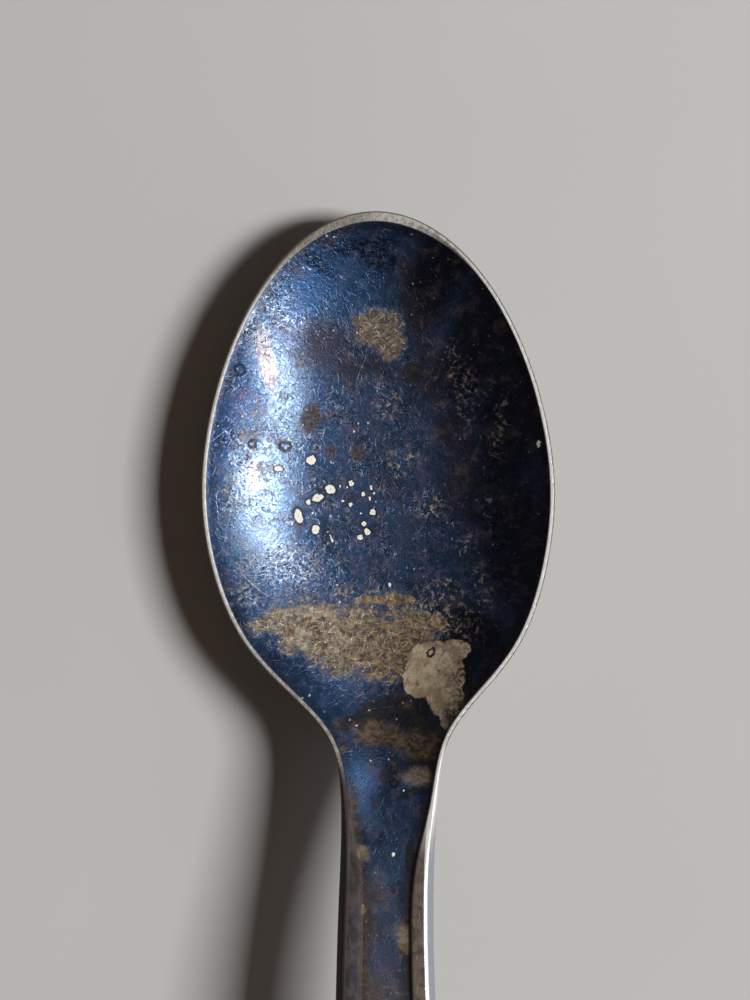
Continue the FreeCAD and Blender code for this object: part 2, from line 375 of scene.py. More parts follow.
def buildBlank():
    shape = spoonShape
    crest, sheet = smoothCurve(shape["crest"]), smoothCurve(shape["sheet"])
    border, fieldDepth = smoothCurve(shape["border"]), smoothCurve(shape["fieldDepth"])
    hollow = smoothCurve(shape["hollow"])
    ring, inward, half = blankColumns()
    count = len(ring)
    order = np.argsort(half[:, 1])
    halfStation, halfWidthAt = half[order, 1], -half[order, 0]
    station = ring[:, 1]
    width = border(station)
    stemStart, stemGrowth = shape["stemBorder"]
    stemShare = np.clip((station - stemStart) / stemGrowth, 0, 1) ** 1.3
    flank, flankDrop, wall, edgeRound, bead = (
        np.interp(stemShare, [0, 1], shape[name])
        for name in ("flank", "flankDrop", "wall", "edgeRound", "bead"))

    def stepIn(distance):
        return ring[:, 0] + inward[:, 0] * distance, ring[:, 1] + inward[:, 1] * distance

    def radiusSquared(x, s, inset, tipInset):
        offset = x - sway(s)
        reach = np.clip((shape["bowlFront"] - s) / (shape["bowlFront"] - tipInset), 0, None)
        front = (offset / (bowlHalfWidth - inset)) ** 2 + reach ** shape["tipRoundness"]
        local = np.maximum(np.interp(s, halfStation, halfWidthAt) - inset, 1.5)
        back = 1 - hollow(s) * (1 - (offset / local) ** 2)
        return np.clip(np.where(s <= shape["bowlFront"], front, back), 0, 1)

    columns = []

    def addRow(x, s, isBack, blend, rimDrop, insetValue, lift=0.0):
        tipInset = 0.0 if isBack else border(np.array(0.0))
        inset = 0.0 if isBack else border(s)
        rho = radiusSquared(x, s, inset, tipInset)
        local = np.maximum(np.interp(np.clip(s, 1, spoonLength - 4), halfStation, halfWidthAt), 3)
        stem = np.clip((s - 34) / 10, 0, 1) * np.clip((103 - s) / 12, 0, 1)
        crown = stem * ((x - sway(s)) / local) ** 2 if isBack else 0 * s
        columns.append({
            "x": x, "s": s, "isBack": np.full(count, float(isBack)), "fieldBlend": blend + 0 * s,
            "rimDrop": rimDrop + 0 * s, "hollowRadius": rho, "crest": crest(s),
            "fieldDepth": fieldDepth(s), "sheet": sheet(s), "crown": crown,
            "inset": insetValue + 0 * s, "depthIn": insetValue - width, "lift": lift + 0 * s})

    innerX, innerS = stepIn(width)
    mirror = np.concatenate([[0], np.arange(count - 1, 0, -1)])
    evenS = (innerS + innerS[mirror]) / 2
    spineS = np.clip(evenS, *shape["spine"])
    spineX = sway(spineS)
    steps = 30
    for k in range(steps + 1):                      # spine out to the border's inner edge
        f = (k / steps) ** 0.8
        x, s = spineX + (innerX - spineX) * f, spineS + (innerS - spineS) * f
        gone = np.hypot(x - innerX, s - innerS)
        addRow(x, s, False, 1.0, 0.0, width + gone)
    for k in (0.8, 0.6, 0.4, 0.2, 0.0):             # inner wall
        d = width - wall * (1 - k)
        blend = k * k * (3 - 2 * k)
        addRow(*stepIn(d), False, blend, 0.0, d)
    for k in (0.8, 0.6, 0.4, 0.2):                  # top of the border, a low bead
        d = flank + (width - wall - flank) * k
        drop = bead * (1 - math.sin(math.pi * (0.35 + 0.65 * k) * 0.75))
        addRow(*stepIn(d), False, 0.0, drop, d)
    for k in (1.0, 0.88, 0.76, 0.64, 0.52, 0.4, 0.27, 0.14, 0.0):    # outer flank
        d = flank * k
        drop = flankDrop * (1 - k) ** 2.1 + bead * (1 - math.sin(math.pi * 0.35 * 0.75)) * k
        addRow(*stepIn(d), False, 0.0, drop, d)
    for k in (0, 15, 30, 45, 60, 75, 90):           # lower edge
        a = math.radians(k)
        d = edgeRound * (1 - math.cos(a))
        lift = edgeRound * (1 - math.sin(a))
        addRow(*stepIn(d), True, 0.0, 0.0, -d, lift)
    backX, backS = stepIn(edgeRound)
    steps = 24
    for k in range(1, steps + 1):                   # underside back to the spine
        f = 1 - (1 - k / steps) ** 0.85
        x, s = backX + (spineX - backX) * f, backS + (spineS - backS) * f
        addRow(x, s, True, 0.0, 0.0, -np.hypot(x - backX, s - backS) - edgeRound)

    rows = len(columns)
    points = np.zeros((rows, count, 3))
    for r, column in enumerate(columns):
        points[r, :, 0] = column["x"] * mm
        points[r, :, 1] = (tipY - column["s"]) * mm
        points[r, :, 2] = -1e-4 * r
    mesh = bpy.data.meshes.new("spoon_body")
    quads = []
    for r in range(rows - 1):
        for c in range(count):
            d = (c + 1) % count
            quads.append((r * count + c, (r + 1) * count + c, (r + 1) * count + d, r * count + d))
    mesh.from_pydata(points.reshape(-1, 3).tolist(), [], quads)
    for name in ("isBack", "fieldBlend", "rimDrop", "hollowRadius", "crest", "fieldDepth", "sheet", "crown",
                 "inset", "depthIn", "lift"):
        layer = mesh.attributes.new(name, "FLOAT", "POINT")
        layer.data.foreach_set("value", np.concatenate([c[name] for c in columns]).astype(np.float32))
    return mesh


pressInputs = {
    "Bowl Depth": "bowlDepth",
    "Wall Power": "wallPower",
    "Back Crown": "backCrown",
    "Dent Depth": "dentDepth",
    "Dent Spacing": "dentSpacing",
}


def attribute(tree, name):
    node = newNode(tree, "GeometryNodeInputNamedAttribute", data_type="FLOAT")
    node.inputs["Name"].default_value = name
    return node.outputs["Attribute"]


def makePressTree():
    tree, given, result = newGroup("spoonPress", {
        "Geometry": "Geometry",
        **{name: spoonShape[key] for name, key in pressInputs.items()},
        "Finish": "Material",
    }, {"Geometry": "Geometry"}, "GeometryNodeTree")
    radius = attribute(tree, "hollowRadius")
    drop = both(given["Bowl Depth"], calc("SUBTRACT", 1.0, calc("POWER", radius, given["Wall Power"])))
    crest = attribute(tree, "crest")
    sunk = both(attribute(tree, "fieldBlend"), calc("ADD", attribute(tree, "fieldDepth"), drop))
    top = calc("SUBTRACT", calc("SUBTRACT", crest, attribute(tree, "rimDrop")), sunk)
    under = calc("SUBTRACT", calc("SUBTRACT", crest, drop), attribute(tree, "sheet"))
    under = calc("MULTIPLY_ADD", attribute(tree, "crown"), given["Back Crown"], under)
    under = either(under, 0.0)
    under = calc("ADD", under, attribute(tree, "lift"))
    position = newNode(tree, "GeometryNodeInputPosition").outputs[0]
    plan = vectorCalc("MULTIPLY", position, (1 / mm, 1 / mm, 0))
    spread = calc("DIVIDE", 1.0, given["Dent Spacing"])
    wave = calc("SUBTRACT", noise(plan, spread, 2.0, 0.6), 0.5)
    dent = both(both(wave, given["Dent Depth"]), 2.0)
    dent = both(dent, attribute(tree, "fieldBlend"))
    top = calc("ADD", top, dent)
    height = blendValue(attribute(tree, "isBack"), top, under)
    parts = newNode(tree, "ShaderNodeSeparateXYZ", {0: position}).outputs
    place = newNode(tree, "ShaderNodeCombineXYZ", {"X": parts["X"], "Y": parts["Y"], "Z": both(height, mm)})
    pressed = newNode(tree, "GeometryNodeSetPosition",
                      {"Geometry": given["Geometry"], "Position": place.outputs[0]})
    welded = newNode(tree, "GeometryNodeMergeByDistance",
                     {"Geometry": pressed.outputs[0], "Distance": 2e-6})
    smooth = newNode(tree, "GeometryNodeSetShadeSmooth", {"Geometry": welded.outputs[0]})
    real = newNode(tree, "GeometryNodeRealizeInstances", {"Geometry": smooth.outputs[0]})
    finish = newNode(tree, "GeometryNodeSetMaterial",
                     {"Geometry": real.outputs[0], "Material": given["Finish"]})
    tree.links.new(finish.outputs[0], result["Geometry"])
    return tree


def bake(name, mesh, tree, values):
    source = bpy.data.objects.new(name + "Source", mesh)
    scene.collection.objects.link(source)
    modifier = source.modifiers.new("build", "NODES")
    modifier.node_group = tree
    for item in tree.interface.items_tree:
        if item.in_out == "INPUT" and item.name in values:
            modifier[item.identifier] = values[item.name]
    evaluated = source.evaluated_get(bpy.context.evaluated_depsgraph_get())
    made = bpy.data.meshes.new_from_object(evaluated, preserve_all_data_layers=True,
                                           depsgraph=bpy.context.evaluated_depsgraph_get())
    source.modifiers.clear()
    bpy.data.objects.remove(source)
    made.name = name
    piece = bpy.data.objects.new(name, made)
    scene.collection.objects.link(piece)
    return piece


def faceOutwards(mesh):
    work = bmesh.new()
    work.from_mesh(mesh)
    bmesh.ops.remove_doubles(work, verts=work.verts, dist=1e-7)
    bmesh.ops.recalc_face_normals(work, faces=work.faces)
    work.to_mesh(mesh)
    work.free()


spoonFinish = bpy.data.materials.new("tarnishedPlate")
spoonBody = bake("spoon_body", buildBlank(), makePressTree(), {
    **{name: spoonShape[key] for name, key in pressInputs.items()}, "Finish": spoonFinish})
faceOutwards(spoonBody.data)
print("the spoon's body has", len(spoonBody.data.polygons), "faces")


# finish of the spoon
def makePatchGroup():
    tree, given, result = newGroup("wornPatch", {
        "Vector": "Vector", "Center": (0, 0, 0), "Size": (1, 1, 1), "Turn": 0.0, "Softness": 0.3,
    }, {"Mask": "Float", "Reach": "Float"})
    local = vectorCalc("SUBTRACT", given["Vector"], given["Center"])
    turned = newNode(tree, "ShaderNodeVectorRotate", {"Vector": local, "Angle": given["Turn"]},
                     rotation_type="Z_AXIS").outputs[0]
    reach = vectorCalc("LENGTH", vectorCalc("DIVIDE", turned, given["Size"]))
    low = calc("SUBTRACT", 1.0, given["Softness"])
    high = calc("ADD", 1.0, given["Softness"])
    tree.links.new(fade(reach, low, high, 1.0, 0.0), result["Mask"])
    tree.links.new(reach, result["Reach"])
    return tree


def scatterCells(tree, given):
    # one random cell of the scatter: where it is, how far off, and three random numbers
    scaled = newNode(tree, "ShaderNodeVectorMath", {0: given["Vector"]}, operation="SCALE")
    tree.links.new(calc("DIVIDE", 1.0, given["Spacing"]), scaled.inputs["Scale"])
    shift = newNode(tree, "ShaderNodeCombineXYZ", {"X": given["Shift"], "Y": given["Shift"]}).outputs[0]
    moved = vectorCalc("ADD", scaled.outputs["Vector"], shift)
    cells = newNode(tree, "ShaderNodeTexVoronoi", {"Vector": moved, "Scale": 1.0}, voronoi_dimensions="2D",
                    feature="F1")
    chance = newNode(tree, "ShaderNodeSeparateColor", {0: cells.outputs["Color"]}).outputs
    return moved, cells, chance


def makeScratchGroup():
    tree, given, result = newGroup("fineScratches", {
        "Vector": "Vector", "Spacing": 2.0, "Length": 0.45, "Width": 0.02, "Spread": 6.28,
        "Bend": 0.4, "Density": 0.6, "Shift": 0.0,
    }, {"Mask": "Float"})
    moved, cells, chance = scatterCells(tree, given)
    local = vectorCalc("SUBTRACT", moved, cells.outputs["Position"])
    flat = vectorCalc("MULTIPLY", local, (1, 1, 0))
    swing = both(calc("SUBTRACT", chance[0], 0.5), given["Spread"])
    turned = newNode(tree, "ShaderNodeVectorRotate", {"Vector": flat, "Angle": swing},
                     rotation_type="Z_AXIS").outputs[0]
    axes = newNode(tree, "ShaderNodeSeparateXYZ", {0: turned}).outputs
    bow = both(calc("SUBTRACT", chance[1], 0.5), given["Bend"])
    bowed = calc("MULTIPLY_ADD", both(axes["X"], axes["X"]), bow, axes["Y"])
    across = fade(calc("ABSOLUTE", bowed), 0.0, given["Width"], 1.0, 0.0)
    half = both(given["Length"], 0.4)
    ends = fade(calc("ABSOLUTE", axes["X"]), half, given["Length"], 1.0, 0.0)
    kept = calc("LESS_THAN", chance[2], given["Density"])
    tree.links.new(both(both(across, ends), kept), result["Mask"])
    return tree


def makeSpeckGroup():
    tree, given, result = newGroup("tinySpecks", {
        "Vector": "Vector", "Spacing": 0.6, "Size": 0.2, "Density": 0.5, "Shift": 0.0,
    }, {"Mask": "Float"})
    _, cells, chance = scatterCells(tree, given)
    size = both(given["Size"], calc("MULTIPLY_ADD", chance[0], 0.8, 0.4))
    inner = both(size, 0.6)
    dot = fade(cells.outputs["Distance"], inner, size, 1.0, 0.0)
    kept = calc("LESS_THAN", chance[1], given["Density"])
    tree.links.new(both(dot, kept), result["Mask"])
    return tree


def makeWormGroup():
    # short curling lines, where a noise crosses its middle, broken up by a second noise
    tree, given, result = newGroup("curlingMarks", {
        "Vector": "Vector", "Scale": 2.0, "Width": 0.05, "Gaps": 0.5, "Shift": 0.0,
    }, {"Mask": "Float"})
    shift = newNode(tree, "ShaderNodeCombineXYZ", {"Z": given["Shift"]}).outputs[0]
    moved = vectorCalc("ADD", given["Vector"], shift)
    field = noise(moved, given["Scale"], 1.5, 0.5, 0.6)
    middle = calc("ABSOLUTE", calc("SUBTRACT", field, 0.5))
    line = fade(middle, 0.0, given["Width"], 1.0, 0.0)
    breaks = noise(moved, both(given["Scale"], 1.3), 2.0)
    low = calc("SUBTRACT", given["Gaps"], 0.04)
    high = calc("ADD", given["Gaps"], 0.04)
    tree.links.new(both(line, fade(breaks, low, high)), result["Mask"])
    return tree


patchGroup = makePatchGroup()
scratchGroup = makeScratchGroup()
speckGroup = makeSpeckGroup()
wormGroup = makeWormGroup()

# Every mark is (across, station, half width, half length), in mm, and then a turn in degrees if it has one.
# Across is to the right of the long axis and station is back from the bowl's tip.
spoonMarks = {
    # stains and painted shade: dark navy patches that deepen the bowl's right side
    "rightStainsAndShade": [(4.6, 4.2, 2.0, 3.4, -20), (7.0, 9.5, 1.9, 5.0, -10), (9.6, 14.0, 2.6, 8.0, -6),
                    (10.2, 24.0, 3.0, 7.0, 14), (7.2, 31.0, 2.2, 3.6, 35)],
    "purpleStains": [(-3.5, 9.4, 2.2, 1.9, 10), (-1.6, 10.9, 2.4, 1.1), (3.0, 6.5, 1.5, 3.0),
                     (4.2, 11.6, 1.7, 2.0, -8), (6.0, 19.0, 1.2, 2.8), (5.2, 15.5, 1.0, 1.2)],
    # painted glints: bright curling marks with dark squiggles between them, near the bowl's highlight
    "glintAndSquigglePatches": [(-7.0, 5.9, 1.3, 1.6, 25), (-8.2, 8.6, 0.9, 1.5, 15), (-5.9, 7.6, 1.2, 0.8),
                 (-6.6, 25.2, 2.4, 1.5), (-9.6, 18.6, 0.9, 2.6)],
    # painted highlight: pale patches where the bowl's highlight falls
    "highlightPatches": [(-7.7, 10.2, 1.1, 2.6, 8), (-6.4, 12.9, 1.3, 3.3), (-8.0, 19.6, 2.1, 4.0, -6),
                   (-6.2, 14.6, 0.9, 2.4),
                   (-7.8, 23.2, 1.6, 1.7), (-8.9, 22.2, 1.7, 2.6)],
    # painted highlight: pink streaks at the edge of the bowl's highlight
    "pinkHighlightStreaks": [(-7.85, 10.2, 0.5, 2.0, 10), (-8.9, 18.4, 0.4, 0.8)],
    "neckBlues": [(-2.6, 5.6, 4.4, 2.6, -20), (-3.6, 34.0, 1.9, 3.4, -38), (-1.4, 39.5, 1.0, 1.4),
                  (-8.0, 29.0, 1.0, 2.6, -30)],
    "tipScuffs": [(-0.9, 2.5, 2.6, 0.7, 6), (0.6, 3.6, 1.8, 0.6, -12), (-4.2, 3.5, 1.6, 0.5, -35)],
    "brownScuffs": [(0.1, 8.1, 1.9, 1.4, 10), (1.1, 9.3, 1.1, 1.2), (-0.9, 7.6, 0.9, 0.6),
                    (4.1, 29.3, 0.9, 0.6, -20), (0.4, 27.6, 2.4, 0.5)],
    "flecks": [(0.7, 13.6, 1.1, 0.9, 20), (0.2, 12.3, 0.4, 0.7), (5.6, 10.8, 0.5, 1.6),
               (7.1, 12.9, 0.6, 0.5), (8.7, 15.8, 0.55, 2.0, -10), (2.2, 17.4, 0.9, 0.8),
               (3.7, 20.9, 1.1, 1.2, 20), (6.2, 23.7, 0.9, 0.7, 35), (7.0, 25.6, 0.5, 0.9),
               (-9.7, 26.2, 0.8, 1.8, -18), (-6.5, 27.4, 2.8, 0.8), (-1.5, 27.3, 3.0, 0.7),
               (4.8, 27.0, 1.8, 0.9), (-8.6, 15.6, 1.2, 3.0), (5.9, 35.2, 0.7, 1.2, 15),
               (7.8, 21.4, 0.4, 1.3), (6.4, 13.0, 0.7, 2.2), (8.8, 14.5, 0.4, 1.8, -12),
               (7.3, 27.0, 0.7, 2.0), (1.3, 17.8, 0.5, 1.1, 10), (5.4, 29.0, 2.0, 1.4, -35),
               (3.6, 28.3, 2.0, 0.7, 10)],
    "goldBand": [(-7.2, 28.9, 2.2, 0.9, 15), (-4.9, 29.5, 2.6, 1.7, 22), (-2.2, 30.3, 3.2, 2.6, 20),
                 (0.6, 31.0, 2.9, 2.6, 12), (2.0, 30.0, 2.1, 2.0)],
    "tanFlake": [(3.9, 32.5, 2.15, 1.9, -20), (5.3, 31.2, 1.1, 0.8), (2.5, 33.4, 0.9, 1.2, 20),
                 (4.5, 34.4, 1.35, 1.5, 18), (5.0, 35.9, 0.9, 0.9, 20)],
    "flakeRot": [(6.0, 33.6, 0.7, 1.9, 8), (5.6, 35.6, 1.1, 1.0), (3.0, 35.2, 0.5, 0.6)],
    "darkBlots": [(1.0, 35.2, 2.6, 1.0, 8), (1.9, 34.8, 1.5, 0.75, 8), (2.6, 11.4, 0.9, 0.75),
                  (2.9, 36.3, 1.8, 0.6, -10), (0.7, 39.7, 0.8, 0.9), (2.6, 38.8, 1.3, 0.45),
                  (-1.8, 36.0, 1.5, 0.5, 10), (2.2, 40.9, 1.2, 0.35, 10), (5.7, 34.4, 0.45, 1.2, 10),
                  (-2.6, 47.0, 0.35, 5.0), (1.9, 46.0, 0.3, 2.5)],
    "brownSmears": [(-0.1, 37.0, 2.2, 0.75, -6), (2.5, 37.6, 1.7, 0.9, 5), (-1.9, 43.5, 0.5, 2.2),
                    (-2.0, 50.5, 0.7, 5.5), (-0.6, 47.5, 0.9, 1.4), (-0.2, 56.0, 2.0, 2.0)],
    "tanSpots": [(2.35, 39.9, 0.92, 0.6), (1.25, 50.7, 0.55, 0.95, 10), (-1.3, 45.0, 0.5, 0.5),
                 (-1.5, 48.8, 0.3, 0.3), (-1.0, 57.6, 0.5, 0.6)],
    "redSpots": [(-4.7, 14.5, 0.72, 1.1, -8), (-3.3, 16.8, 0.42, 0.45), (-1.4, 17.1, 0.55, 0.5),
                 (-0.4, 18.6, 0.3, 0.25)],
    "ringPits": [(-9.6, 11.1, 0.42, 0.44), (-8.9, 16.3, 0.3, 0.3), (-6.6, 16.5, 0.45, 0.4),
                 (3.6, 31.3, 0.38, 0.26, 50), (0.75, 40.3, 0.3, 0.28)],
    "whiteChips": [(-4.76, 17.5, 0.36, 0.34), (-3.42, 19.6, 0.4, 0.32, -35),
                   (-4.32, 20.2, 0.42, 0.3, 15), (-5.0, 20.5, 0.17, 0.2),
                   (-5.7, 21.5, 0.3, 0.52, 18), (-4.5, 22.5, 0.28, 0.33),
                   (-1.9, 19.2, 0.22, 0.2), (-2.2, 19.5, 0.08, 0.08), (-2.7, 19.4, 0.08, 0.08),
                   (-2.55, 20.45, 0.11, 0.1), (-2.0, 20.7, 0.17, 0.15),
                   (-1.07, 20.0, 0.15, 0.17), (-0.5, 19.5, 0.1, 0.17),
                   (-0.6, 20.3, 0.1, 0.17, 20), (-0.3, 19.95, 0.08, 0.08),
                   (-0.4, 21.3, 0.22, 0.23, -20), (-1.03, 22.1, 0.15, 0.22),
                   (-0.8, 22.7, 0.23, 0.25), (-1.33, 23.1, 0.2, 0.2), (-1.23, 21.4, 0.08, 0.08),
                   (-4.7, 21.3, 0.08, 0.11), (-3.4, 23.1, 0.07, 0.33, 22),
                   (0.75, 26.5, 0.1, 0.18, 25), (-7.1, 18.1, 0.3, 0.2),
                   (1.5, 40.75, 0.07, 0.07), (-0.8, 38.7, 0.06, 0.06), (0.7, 45.1, 0.14, 0.12),
                   (11.4, 16.6, 0.14, 0.3)],
}

spoonTints = {
    "teal": (0.037, 0.130, 0.32),
    "steelBlue": (0.055, 0.122, 0.305),
    "violet": (0.11, 0.115, 0.255),
    "neckBlue": (0.060, 0.165, 0.39),
    "stemBlue": (0.105, 0.16, 0.27),
    "stemHaze": (0.115, 0.10, 0.095),
    # painted highlights: a pale blue and a pink
    "highlightBlue": (0.30, 0.42, 0.56),
    "pinkHighlight": (0.66, 0.52, 0.55),
    "deepBlue": (0.010, 0.020, 0.055),
    "nightBlue": (0.004, 0.008, 0.024),
    "brightMark": (0.55, 0.66, 0.80),
    "purpleBrown": (0.055, 0.047, 0.066),
    "haze": (0.074, 0.058, 0.052),
    "fleck": (0.36, 0.29, 0.19),
    "bandGround": (0.085, 0.055, 0.030),
    "bandDark": (0.035, 0.022, 0.012),
    "bandDeep": (0.022, 0.013, 0.007),
    "bandMiddle": (0.22, 0.14, 0.068),
    "bandLight": (0.93, 0.87, 0.72),
    "tan": (0.40, 0.34, 0.245),
    "tanShade": (0.25, 0.18, 0.12),
    "tanRot": (0.12, 0.085, 0.06),
    "soot": (0.008, 0.008, 0.010),
    "smear": (0.135, 0.088, 0.046),
    "rust": (0.034, 0.018, 0.020),
    "chipWhite": (0.80, 0.78, 0.72),
    "chipPip": (0.22, 0.19, 0.16),
    "silver": (0.99, 0.99, 0.98),
    "silverShade": (0.36, 0.33, 0.27),
    "rimBrown": (0.22, 0.20, 0.165),
    "stemBead": (0.20, 0.165, 0.14),
    "stemBeadShade": (0.10, 0.085, 0.08),
    # painted reflection of the floor on the stem border's outer flank
    "flankFloorReflection": (0.36, 0.38, 0.44),
    "tipTan": (0.20, 0.175, 0.135),
    "outerLine": (0.03, 0.028, 0.025),
    # painted shade: darker tones for the stem's brown left border and its near-black outer flank
    "leftBead": (0.062, 0.050, 0.047),
    "leftBeadShade": (0.028, 0.022, 0.021),
    "leftFlankShade": (0.03, 0.018, 0.016),
    "undersideGrey": (0.34, 0.33, 0.33),
    "undersideBlue": (0.15, 0.18, 0.27),
    "undersideBrown": (0.18, 0.13, 0.09),
    "undersideRub": (0.55, 0.55, 0.55),
    "undersideLine": (0.6, 0.6, 0.6),
}

spoonGloss = {
    "relief": 0.022,            # mm, the height of one step of relief
    "lacquer": 0.6,             # share of clear coat left where the tarnish is whole
    "lacquerRoughness": 0.2,
}


def gathered(vector, marks, output, operation, softness):
    # each patch joins the rest at once: the renderer runs out of room if they all wait to the end
    found = None
    for across, station, halfWidth, halfLength, *turn in marks:
        patch = useGroup(patchGroup, Vector=vector, Center=(across, station, 0), Softness=softness,
                         Size=(halfWidth, halfLength, 1), Turn=math.radians(turn[0] if turn else 0))
        found = patch[output] if found is None else calc(operation, found, patch[output])
    return found


def patches(vector, marks, softness):
    return gathered(vector, spoonMarks[marks], "Mask", "MAXIMUM", softness)


def nearest(vector, marks):
    return gathered(vector, spoonMarks[marks], "Reach", "MINIMUM", 0.1)


def warped(vector, scale, amount, detail=3.0):
    push = vectorCalc("SUBTRACT", noise(vector, scale, detail, 0.6, 0.0, "Color"), (0.5, 0.5, 0.5))
    push = vectorCalc("MULTIPLY", push, (2 * amount, 2 * amount, 0))
    return vectorCalc("ADD", vector, push)


def shaderAttribute(tree, name):
    return newNode(tree, "ShaderNodeAttribute", attribute_name=name).outputs["Fac"]


def worms(vector, scale, width, gaps, shift):
    return useGroup(wormGroup, Vector=vector, Scale=scale, Width=width, Gaps=gaps, Shift=shift)["Mask"]


class Layers:
    # colour, roughness, metal and relief of one surface, built up from the bottom
    def __init__(self, color, rough, metal):
        self.color, self.rough, self.metal = color, rough, metal
        self.height = None

    def cover(self, mask, tint, rough=None, metal=None):
        self.color = blendColor(mask, self.color, tint)
        if rough is not None:
            self.rough = blendValue(mask, self.rough, rough)
        if metal is not None:
            self.metal = blendValue(mask, self.metal, metal)

    def raised(self, mask, amount):
        step = both(mask, amount)
        self.height = step if self.height is None else calc("ADD", self.height, step)


def spoonFields(tree):
    # places, masks and noises that the layers share, in mm
    at = SimpleNamespace()
    where = newNode(tree, "ShaderNodeTexCoord").outputs["Object"]
    inMm = vectorCalc("MULTIPLY", where, (1 / mm, -1 / mm, 0))
    at.plan = vectorCalc("ADD", inMm, (0, tipY, 0))
    axes = newNode(tree, "ShaderNodeSeparateXYZ", {0: at.plan}).outputs
    at.across, at.station = axes["X"], axes["Y"]
    at.back = shaderAttribute(tree, "isBack")
    at.front = calc("SUBTRACT", 1.0, at.back)
    at.inset = shaderAttribute(tree, "inset")
    at.depthIn = shaderAttribute(tree, "depthIn")
    at.field = shaderAttribute(tree, "fieldBlend")
    at.broad = warped(at.plan, 0.9, 0.6, 4.0)
    at.fine = warped(at.plan, 3.6, 0.16, 2.0)
    at.bowlShare = fade(at.station, 36.0, 44.0, 1.0, 0.0)

    at.slow = noise(at.plan, 0.17, 3.0, 0.6, 0.4)
    at.middle = noise(at.plan, 0.8, 5.0, 0.65, 0.4)
    at.grain = noise(at.plan, 5.5, 3.0, 0.65)
    at.markZone = fade(noise(at.plan, 0.4, 3.0, 0.6, 0.3), 0.42, 0.58, 0.4, 1.0)
    at.lightMarks = both(worms(at.fine, 1.5, 0.045, 0.5, 0.0), at.markZone)
    at.darkMarks = both(worms(at.fine, 1.8, 0.055, 0.48, 9.0), at.markZone)
    at.swirls = worms(warped(at.plan, 1.6, 0.3), 1.15, 0.1, 0.36, 71.0)
    at.tinyMarks = worms(at.plan, 4.6, 0.06, 0.5, 17.0)
    # curling marks that carry the painted glints
    at.sparkMarks = worms(at.plan, 3.0, 0.09, 0.42, 23.0)
    at.clouds = noise(at.broad, 0.42, 4.0, 0.62, 0.5)
    return at


def layTarnish(at):
    # blue tarnish, broken up by grain and curling rub marks, with painted highlights: rub marks painted
    # brighter on the left, and pale patches, pink streaks and glints where the bowl's highlight falls
    blue = blendColor(fade(at.slow, 0.38, 0.62), "steelBlue", "teal")
    at.layers = Layers(blue, fade(at.middle, 0.3, 0.7, 0.34, 0.44), 0.92)
    at.layers.cover(fade(at.station, 38.0, 46.0, 0.0, 0.55), "stemBlue")
    at.layers.cover(fade(at.middle, 0.45, 0.68, 0.0, 0.75), "violet")
    at.layers.cover(fade(at.clouds, 0.46, 0.66, 0.0, 0.62), "deepBlue")
    at.layers.cover(both(fade(at.grain, 0.42, 0.68, 0.0, 0.45), at.bowlShare), "deepBlue")
    at.layers.cover(both(at.darkMarks, fade(at.bowlShare, 0.0, 1.0, 0.25, 0.85)), "deepBlue")
    at.rubbed = both(either(at.lightMarks, both(at.tinyMarks, at.markZone, 0.4)),
                     fade(at.bowlShare, 0.0, 1.0, 0.12, 1.0))
    # painted glints: the rub marks are painted brighter towards the left, where the highlight falls; the
    # marks themselves are wear
    at.leftShare = both(fade(at.across, -9.0, 4.0, 0.8, 0.12), fade(at.station, 2.0, 7.0, 0.25, 1.0))
    at.layers.cover(both(at.rubbed, at.leftShare), "brightMark", 0.36)
    # painted highlight: pale patches laid where the bowl's highlight falls
    bloom = both(patches(at.broad, "highlightPatches", 0.9), fade(at.darkMarks, 0.0, 1.0, 0.8, 0.2),
                 fade(at.grain, 0.34, 0.6, 0.35, 1.0))
    at.layers.cover(bloom, "highlightBlue", 0.32)
    # painted highlight: pink streaks at the edge of the bowl's highlight
    pinkHighlight = patches(at.fine, "pinkHighlightStreaks", 0.5)
    at.layers.cover(both(pinkHighlight, 0.8), "pinkHighlight", 0.3)
    # painted glints: bright curling marks near the bowl's highlight, with dark squiggles between them
    glintAndSquiggleZone = patches(at.broad, "glintAndSquigglePatches", 0.5)
    at.layers.cover(both(glintAndSquiggleZone, fade(at.darkMarks, 0.0, 0.4), 0.9), "nightBlue")
    at.layers.cover(both(glintAndSquiggleZone, at.sparkMarks), "brightMark", 0.3)

    neckBlue = patches(at.broad, "neckBlues", 0.8)
    at.layers.cover(both(neckBlue, 0.82), "neckBlue")


